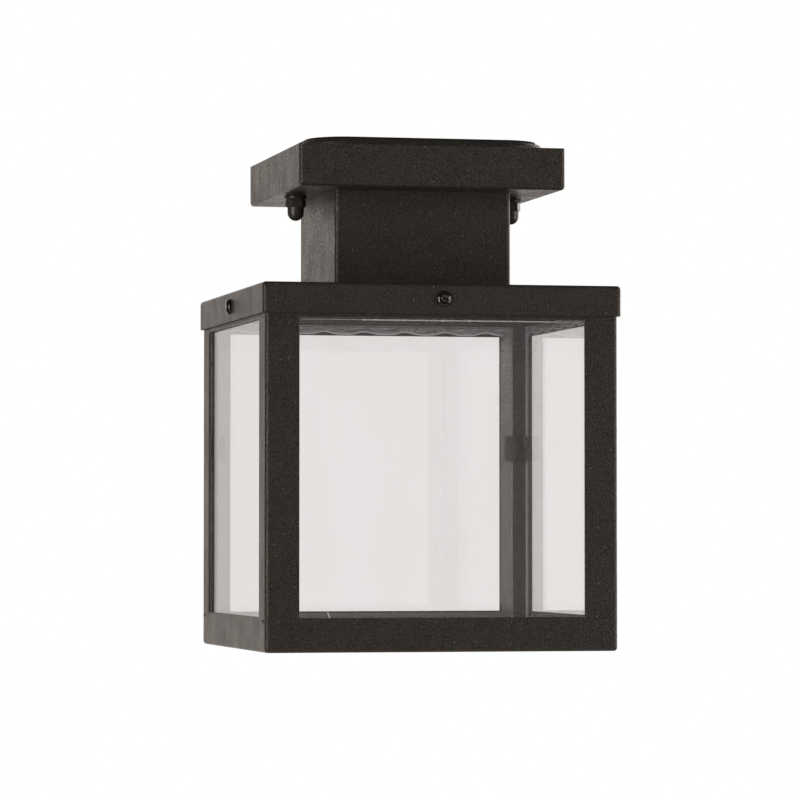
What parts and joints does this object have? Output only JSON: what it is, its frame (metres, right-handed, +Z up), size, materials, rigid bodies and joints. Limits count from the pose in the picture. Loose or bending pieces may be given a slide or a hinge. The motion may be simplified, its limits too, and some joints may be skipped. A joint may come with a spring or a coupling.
{
  "type": "porch ceiling lantern",
  "caption": "Square glazed porch lantern hung close under a ceiling from a square canopy and neck, with clear panes in a folded steel cage and a screw lampholder in the neck.",
  "frame": {"origin": "middle of the ceiling face, where the foam pad meets the ceiling", "axes": "+Z up into the ceiling, front of the lantern faces -Y, +X to the right"},
  "size_m": [0.1644, 0.1644, 0.226],
  "materials": {
    "powder_coat": "fine-textured matt powder coat, very dark bronze",
    "foam": "closed-cell black foam",
    "black_rubber": "moulded rubber",
    "black_hardware": "glossy black plating",
    "zinc": "bright zinc plating",
    "clear_glass": "clear float glass with ground edges",
    "silicone": "translucent grey silicone",
    "porcelain": "glazed white",
    "brass": "pressed brass strip",
    "white_plastic": "moulded",
    "brown_sleeve": "wire insulation",
    "blue_sleeve": "wire insulation",
    "green_sleeve": "wire insulation"
  },
  "bodies": {
    "root": {"ceiling_gasket": "foam", "ceiling_plate": "powder_coat", "cable_bush": "black_rubber", "hanging_studs": "zinc", "canopy": "powder_coat", "nut_washers": "zinc", "cap_nuts": "black_hardware", "neck_tube": "powder_coat", "neck_top_screws": "zinc", "neck_top_nuts": "zinc", "neck_bottom_screws": "zinc", "neck_bottom_nuts": "zinc", "top_cap": "powder_coat", "top_rail_frame": "powder_coat", "front_left_post": "powder_coat", "front_right_post": "powder_coat", "back_right_post": "powder_coat", "back_left_post": "powder_coat", "bottom_rail_frame": "powder_coat", "front_pane": "clear_glass", "right_pane": "clear_glass", "back_pane": "clear_glass", "left_pane": "clear_glass", "bottom_pane": "clear_glass", "front_glazing_bead": "silicone", "right_glazing_bead": "silicone", "back_glazing_bead": "silicone", "left_glazing_bead": "silicone", "bottom_glazing_bead": "silicone", "pane_tabs": "powder_coat", "cage_screws": "black_hardware", "cage_weld_nuts": "powder_coat", "threaded_tube": "zinc", "tube_nuts": "zinc", "lampholder_cover": "porcelain", "lampholder_body": "porcelain", "holder_screws": "zinc", "screw_shell": "brass", "centre_contact": "brass", "holder_clamps": "brass", "terminal_block": "white_plastic", "terminal_screws": "zinc", "block_screws": "zinc", "earth_screw": "brass", "earth_nut": "zinc", "live_wire": "brown_sleeve", "neutral_wire": "blue_sleeve", "earth_wire": "green_sleeve"}
  },
  "joints": []
}
